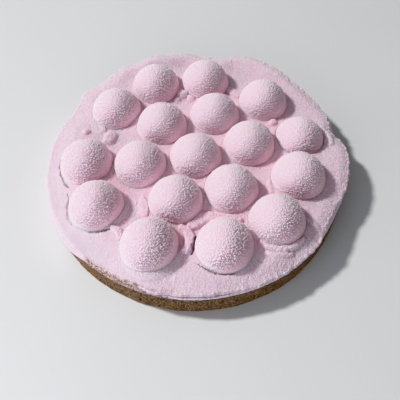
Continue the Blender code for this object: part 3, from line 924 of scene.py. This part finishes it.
def lay_coats(tree, colour, coats):
    """Colour once every coat is laid over the last: a coat is its share, from 0 to 1, and its colour."""
    for share, coat in coats:
        mix = add_node(tree, "ShaderNodeMix", {SHARE: share, UNDER: colour, OVER: coat}, data_type="RGBA")
        colour = mix.outputs[2]
    return colour


def pattern_scale(size):
    """Scale of a pattern from the size in millimetres of what it draws."""
    return 1.0 / (size * MM)


def start_material(name, finish):
    """A material with the constant values of its shader set, its nodes and the object's coordinates."""
    made = bpy.data.materials.new(name)
    made.use_nodes = True
    tree = made.node_tree
    shader = tree.nodes["Principled BSDF"]
    for socket, value in finish.items():
        shader.inputs[socket].default_value = value
    place = add_node(tree, "ShaderNodeTexCoord").outputs["Object"]
    return made, tree, shader, place


def sprayed_velvet(name, colours, powder_height):
    """Frozen mousse sprayed with tinted cocoa butter, which sets as it lands in fine dry grains.

    It gives the eye a soft skin without a highlight: pale grain tops, hollows painted darker as shade, slow
    mottling, a pinker skin painted as shade where the grain is smoother on the side turned from the light and
    in the valleys between domes, painted shadow in cracks and along the split, light that spreads a few
    millimetres under the surface, and brown crumb showing where no spray has stuck.
    """
    crest, hollow, mottle = colours
    made, tree, shader, place = start_material(name, {
        "Roughness": 0.95,
        "Diffuse Roughness": 1.0,
        "Sheen Weight": 0.12,
        "Sheen Roughness": 0.6,
        "Subsurface Weight": 0.7,
        "Subsurface Radius": (1.0, 0.68, 0.74),
        "Subsurface Scale": 7.0 * MM,
    })
    grain, painted_shade_pink, gap, bare, calm = (
        add_node(tree, "ShaderNodeAttribute", attribute_name=label).outputs["Fac"]
        for label in ("grain", "painted_shade_pink", "gap", "bare", "calm")
    )
    # Hollows between the grains are painted darker, as shade
    level = add_node(tree, "ShaderNodeMapRange", {VALUE: grain, FROM_LOW: 0.05, FROM_HIGH: 0.7}).outputs[0]
    slow = add_node(tree, "ShaderNodeTexNoise",
                    {"Vector": place, "Scale": pattern_scale(22.0), "Detail": 3.0})
    patch = add_node(tree, "ShaderNodeMapRange",
                     {VALUE: slow.outputs["Fac"], FROM_LOW: 0.35, FROM_HIGH: 0.7, TO_HIGH: 0.4}).outputs[0]
    speck = add_node(tree, "ShaderNodeTexNoise",
                     {"Vector": place, "Scale": pattern_scale(1.3), "Detail": 2.0})
    pale = add_node(tree, "ShaderNodeMapRange",
                    {VALUE: speck.outputs["Fac"], FROM_LOW: 0.38, FROM_HIGH: 0.6}).outputs[0]
    crumbs = lay_coats(tree, SMEAR_DARK, ((pale, SMEAR_PALE),))
    # Painted shade in the colour: darker grain hollows, pink on the side turned from the light and in the
    # valleys, and shadow in cracks and the split
    colour = lay_coats(tree, hollow, (
        (level, crest), (patch, mottle), (painted_shade_pink, PAINTED_SHADE_PINK),
        (gap, CRACK_SHADE), (bare, crumbs), (calm, THICK_SPRAY),
    ))
    tree.links.new(colour, shader.inputs["Base Color"])
    # The powder's own grains are about 0.1 mm across, too fine for the render, so they are drawn at 1.15 mm
    powder = add_node(tree, "ShaderNodeTexVoronoi", {"Vector": place, "Scale": pattern_scale(1.15)})
    high = add_node(tree, "ShaderNodeMapRange",
                    {VALUE: powder.outputs["Distance"], FROM_LOW: 0.75, FROM_HIGH: 0.1}).outputs[0]
    strength = add_node(tree, "ShaderNodeMapRange", {VALUE: calm, TO_LOW: 1.0, TO_HIGH: 0.15}).outputs[0]
    bump = add_node(tree, "ShaderNodeBump",
                    {"Height": high, "Strength": strength, "Distance": powder_height * MM})
    tree.links.new(bump.outputs[0], shader.inputs["Normal"])
    return made


def baked_crumb(name):
    """Baked cake crumb, dry and open: a matte mid-brown with pale flecks, its pores painted dark as shade.

    Sandy crumbs are 0.9 mm across, flecks of nut or crust 1.5 mm, and patches of deeper bake 9 mm.
    """
    made, tree, shader, place = start_material(name, {"Roughness": 0.9, "Specular IOR Level": 0.2})
    grain = add_node(tree, "ShaderNodeAttribute", attribute_name="grain").outputs["Fac"]
    depth = add_node(tree, "ShaderNodeMapRange", {VALUE: grain, FROM_LOW: 0.0, FROM_HIGH: 0.7}).outputs[0]
    sand = add_node(tree, "ShaderNodeTexNoise", {"Vector": place, "Scale": pattern_scale(0.9), "Detail": 2.0})
    dusk = add_node(tree, "ShaderNodeMapRange",
                    {VALUE: sand.outputs["Fac"], FROM_LOW: 0.5, FROM_HIGH: 0.34, TO_HIGH: 0.8}).outputs[0]
    fleck = add_node(tree, "ShaderNodeTexVoronoi", {"Vector": place, "Scale": pattern_scale(1.5)})
    chosen = add_node(tree, "ShaderNodeMapRange",
                      {VALUE: fleck.outputs["Distance"], FROM_LOW: 0.34, FROM_HIGH: 0.2}).outputs[0]
    slow = add_node(tree, "ShaderNodeTexNoise", {"Vector": place, "Scale": pattern_scale(9.0), "Detail": 3.0})
    patch = add_node(tree, "ShaderNodeMapRange",
                     {VALUE: slow.outputs["Fac"], FROM_LOW: 0.4, FROM_HIGH: 0.7, TO_HIGH: 0.5}).outputs[0]
    colour = lay_coats(tree, PORE_SHADE_BROWN, (
        (depth, CRUMB_BROWN), (dusk, DUSK_BROWN), (chosen, FLECK_BROWN), (patch, PATCH_BROWN),
    ))
    tree.links.new(colour, shader.inputs["Base Color"])
    fine = add_node(tree, "ShaderNodeTexNoise", {"Vector": place, "Scale": pattern_scale(0.6), "Detail": 3.0})
    bump = add_node(tree, "ShaderNodeBump",
                    {"Height": fine.outputs["Fac"], "Strength": 0.6, "Distance": 0.3 * MM})
    tree.links.new(bump.outputs[0], shader.inputs["Normal"])
    return made


def pale_floor(name):
    """Plain matte pale ground with the faintest unevenness of tone."""
    made, tree, shader, place = start_material(name, {"Roughness": 0.8})
    slow = add_node(tree, "ShaderNodeTexNoise",
                    {"Vector": place, "Scale": pattern_scale(GROUND_PATCH), "Detail": 2.0})
    colour = lay_coats(tree, 0xD4D4D4, ((slow.outputs["Fac"], 0xDADADA),))
    tree.links.new(colour, shader.inputs["Base Color"])
    return made


def make_ground():
    """Wide flat ground just under the cake."""
    half = GROUND_HALF * MM
    level = -GROUND_DROP * MM
    mesh = bpy.data.meshes.new("floor")
    corners = [(-half, -half, level), (half, -half, level), (half, half, level), (-half, half, level)]
    mesh.from_pydata(corners, [], [(0, 1, 2, 3)])
    mesh.materials.append(pale_floor("matte_pale_ground"))
    floor = bpy.data.objects.new("floor", mesh)
    bpy.context.scene.collection.objects.link(floor)


def make_lamp(name, direction, distance, size, power, tint):
    """Round soft lamp that faces the cake from the given direction."""
    lamp = bpy.data.lights.new(name, "AREA")
    lamp.shape = "DISK"
    lamp.color = tint
    lamp.size = size * MM
    lamp.energy = power
    holder = bpy.data.objects.new(name, lamp)
    bpy.context.scene.collection.objects.link(holder)
    toward = Vector(direction).normalized()
    holder.location = toward * distance * MM
    holder.rotation_mode = "QUATERNION"
    holder.rotation_quaternion = toward.to_track_quat("Z", "Y")


def make_sky():
    """Even pale light from all round."""
    sky = bpy.data.worlds.new("soft_room")
    sky.use_nodes = True
    background = sky.node_tree.nodes["Background"]
    background.inputs["Color"].default_value = SKY_TINT
    background.inputs["Strength"].default_value = SKY_STRENGTH
    bpy.context.scene.world = sky


def make_camera():
    """Camera at the photograph's place, height and focal length."""
    data = bpy.data.cameras.new("camera")
    data.sensor_width = SENSOR_WIDTH
    data.lens = CAMERA_FOCAL_PIXELS / FRAME_PIXELS * SENSOR_WIDTH
    data.clip_start = CAMERA_NEAR * MM
    holder = bpy.data.objects.new("camera", data)
    bpy.context.scene.collection.objects.link(holder)
    holder.location = Vector(CAMERA_PLACE) * MM
    holder.rotation_euler = (math.radians(90.0 - CAMERA_ELEVATION), 0.0, 0.0)
    bpy.context.scene.camera = holder


def main():
    """Makes every piece, the ground, the light and the camera."""
    domes = read_domes()
    layer_velvet = sprayed_velvet("sprayed_mousse_velvet", LAYER_VELVET, 0.4)
    dome_velvet = sprayed_velvet("sprayed_dome_velvet", DOME_VELVET, 0.2)
    crumb = baked_crumb("baked_cake_crumb")
    place_piece(make_base(crumb), "cake_base")
    place_piece(make_layer(domes, layer_velvet), "mousse_layer")
    for number, dome in enumerate(domes, start=1):
        place_piece(make_dome(number, dome, dome_velvet), "dome_%02d" % number)
    make_ground()
    for lamp in LAMPS:
        make_lamp(*lamp)
    make_sky()
    bpy.context.scene.view_settings.view_transform = TONE_CURVE
    make_camera()


main()
